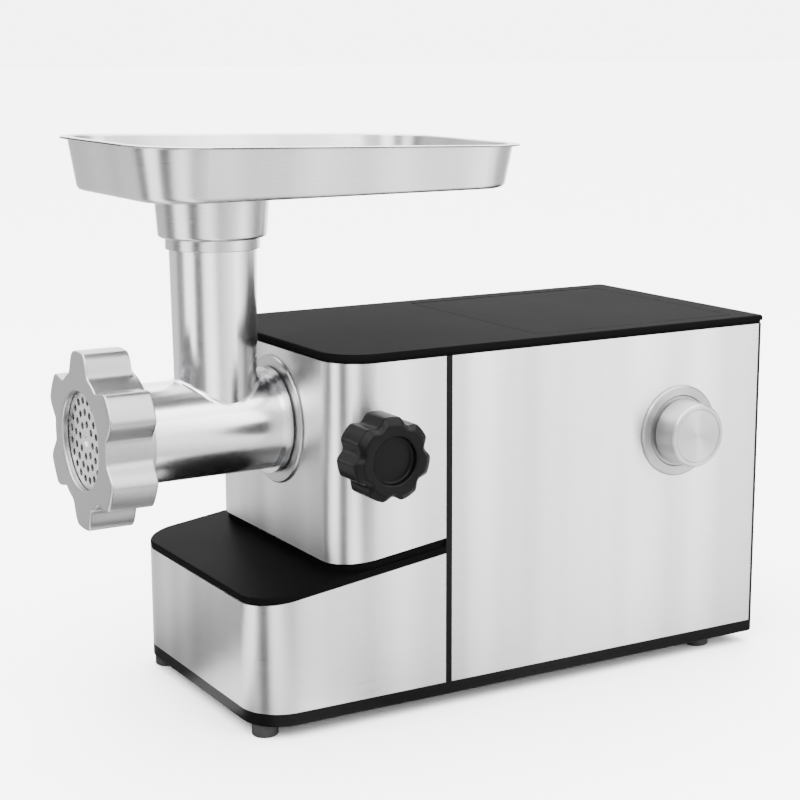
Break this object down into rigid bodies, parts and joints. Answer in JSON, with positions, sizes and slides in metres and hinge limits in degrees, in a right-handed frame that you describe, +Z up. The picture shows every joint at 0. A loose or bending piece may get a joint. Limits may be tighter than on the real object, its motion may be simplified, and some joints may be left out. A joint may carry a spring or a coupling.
{
  "type": "electric meat grinder",
  "caption": "Countertop electric meat grinder: steel-clad geared motor housing, screw-locked grinding head with lobed ring nut, and lift-off feed tray on a tall throat.",
  "frame": {"origin": "centre of the bounding box, on the table under the feet", "axes": "+Z up, -X the way the grinding head points, -Y out of the long face with the two knobs"},
  "size_m": [0.4504, 0.2214, 0.3535],
  "materials": {
    "base_plastic": "fine matt",
    "foot_rubber": "matt",
    "skin_steel": "brushed",
    "deck_plastic": "satin",
    "strip_plastic": "gloss",
    "lid_plastic": "satin",
    "inner_plastic": "matt",
    "bezel_steel": "polished",
    "head_metal": "polished",
    "nut_metal": "satin cast",
    "tray_steel": "satin",
    "knob_metal": "spun",
    "lock_plastic": "satin",
    "tool_steel": "ground",
    "screw_metal": "cast",
    "washer_nylon": "plain",
    "socket_cast": "as cast",
    "fastener_steel": "zinc plated",
    "gear_steel": "machined",
    "gear_nylon": "plain",
    "bronze": "sintered",
    "copper": "enamelled wire",
    "laminations": "stacked sheet",
    "fan_plastic": "plain",
    "carbon": "pressed carbon",
    "capacitor_case": "plain"
  },
  "bodies": {
    "housing": {"base_pan": "base_plastic", "rubber_feet": "foot_rubber", "foot_screws": "fastener_steel", "lower_skin": "skin_steel", "platform_deck": "deck_plastic", "upper_skin": "skin_steel", "centre_frame": "strip_plastic", "main_skin": "skin_steel", "end_cover": "base_plastic", "vent_grille": "inner_plastic", "top_lid": "lid_plastic", "storage_bin": "inner_plastic", "head_bezel": "bezel_steel", "head_socket": "socket_cast", "socket_screws": "fastener_steel", "lock_bush": "bronze", "knob_bezel": "bezel_steel", "rotary_switch": "inner_plastic", "gear_plate_front": "gear_steel", "gear_plate_rear": "gear_steel", "gear_posts": "fastener_steel", "case_screws": "fastener_steel", "shaft_bushes": "bronze", "motor_stator": "laminations", "field_coils": "copper", "motor_bracket_front": "socket_cast", "motor_bracket_rear": "socket_cast", "motor_bearings": "bronze", "tie_screws": "fastener_steel", "brush_holders": "inner_plastic", "carbon_brushes": "carbon", "terminal_block": "inner_plastic", "suppressor": "capacitor_case", "cord_grommet": "foot_rubber"},
    "storage_cover": {"storage_cover": "lid_plastic", "cover_pins": "fastener_steel"},
    "lock_pad": {"lock_pad": "fastener_steel"},
    "lock_knob": {"lock_knob": "lock_plastic", "lock_stem": "fastener_steel"},
    "control_knob": {"control_knob": "knob_metal", "switch_spindle": "fastener_steel"},
    "grinder_head": {"grinder_head": "head_metal"},
    "feed_screw": {"feed_screw": "screw_metal", "thrust_washer": "washer_nylon", "cross_knife": "tool_steel"},
    "cutting_plate": {"cutting_plate": "tool_steel"},
    "ring_nut": {"ring_nut": "nut_metal"},
    "food_tray": {"food_tray": "tray_steel"},
    "output_drive": {"output_gear": "gear_steel", "output_shaft": "gear_steel"},
    "middle_drive": {"middle_gear": "gear_steel", "middle_shaft": "gear_steel"},
    "first_drive": {"first_gear": "gear_nylon", "first_shaft": "gear_steel"},
    "motor_rotor": {"rotor_shaft": "gear_steel", "rotor_core": "laminations", "rotor_windings": "copper", "commutator": "copper", "cooling_fan": "fan_plastic"}
  },
  "joints": [
    {"name": "cover_hinge", "type": "hinge", "parent": "housing", "child": "storage_cover", "pos_m": [0.12785, 0.09175, 0.2265], "axis": [-1, 0, 0], "range_deg": [0, 100]},
    {"name": "lock_travel", "type": "slide", "parent": "housing", "child": "lock_pad", "axis": [0, -1, 0], "range_m": [0, 0.006]},
    {"name": "lock_turn", "type": "hinge", "parent": "lock_pad", "child": "lock_knob", "pos_m": [-0.08065, -0.11075, 0.1716], "axis": [0, -1, 0], "range_deg": [0, 1080]},
    {"name": "switch_turn", "type": "hinge", "parent": "housing", "child": "control_knob", "pos_m": [0.15435, -0.09525, 0.157], "axis": [0, -1, 0], "range_deg": [-45, 45]},
    {"name": "head_slide", "type": "slide", "parent": "housing", "child": "grinder_head", "axis": [-1, 0, 0], "range_m": [0, 0.08]},
    {"name": "screw_spin", "type": "hinge", "parent": "grinder_head", "child": "feed_screw", "pos_m": [-0.10915, 0.01375, 0.1761], "axis": [1, 0, 0], "continuous": true},
    {"name": "plate_travel", "type": "slide", "parent": "grinder_head", "child": "cutting_plate", "axis": [-1, 0, 0], "range_m": [0, 0.02]},
    {"name": "nut_turn", "type": "hinge", "parent": "cutting_plate", "child": "ring_nut", "pos_m": [-0.22515, 0.01375, 0.1761], "axis": [-1, 0, 0], "range_deg": [0, 1800]},
    {"name": "tray_lift", "type": "slide", "parent": "grinder_head", "child": "food_tray", "axis": [0, 0, 1], "range_m": [0, 0.045]},
    {"name": "output_spin", "type": "hinge", "parent": "housing", "child": "output_drive", "pos_m": [-0.01325, 0.01375, 0.1761], "axis": [1, 0, 0], "continuous": true},
    {"name": "middle_spin", "type": "hinge", "parent": "housing", "child": "middle_drive", "pos_m": [0.00325, 0.01375, 0.1311], "axis": [1, 0, 0], "continuous": true},
    {"name": "first_spin", "type": "hinge", "parent": "housing", "child": "first_drive", "pos_m": [0.01375, 0.01375, 0.0986], "axis": [1, 0, 0], "continuous": true},
    {"name": "motor_spin", "type": "hinge", "parent": "housing", "child": "motor_rotor", "pos_m": [0.06085, 0.01375, 0.0686], "axis": [1, 0, 0], "continuous": true}
  ],
  "couplings": [
    {"joint": "motor_spin", "follows": "first_spin", "ratio": -4},
    {"joint": "middle_spin", "follows": "first_spin", "ratio": -0.3},
    {"joint": "output_spin", "follows": "first_spin", "ratio": 0.075},
    {"joint": "screw_spin", "follows": "first_spin", "ratio": 0.075},
    {"joint": "lock_travel", "follows": "lock_turn", "m_per_rad": 0.00031831},
    {"joint": "plate_travel", "follows": "nut_turn", "m_per_rad": 0.00063662}
  ]
}
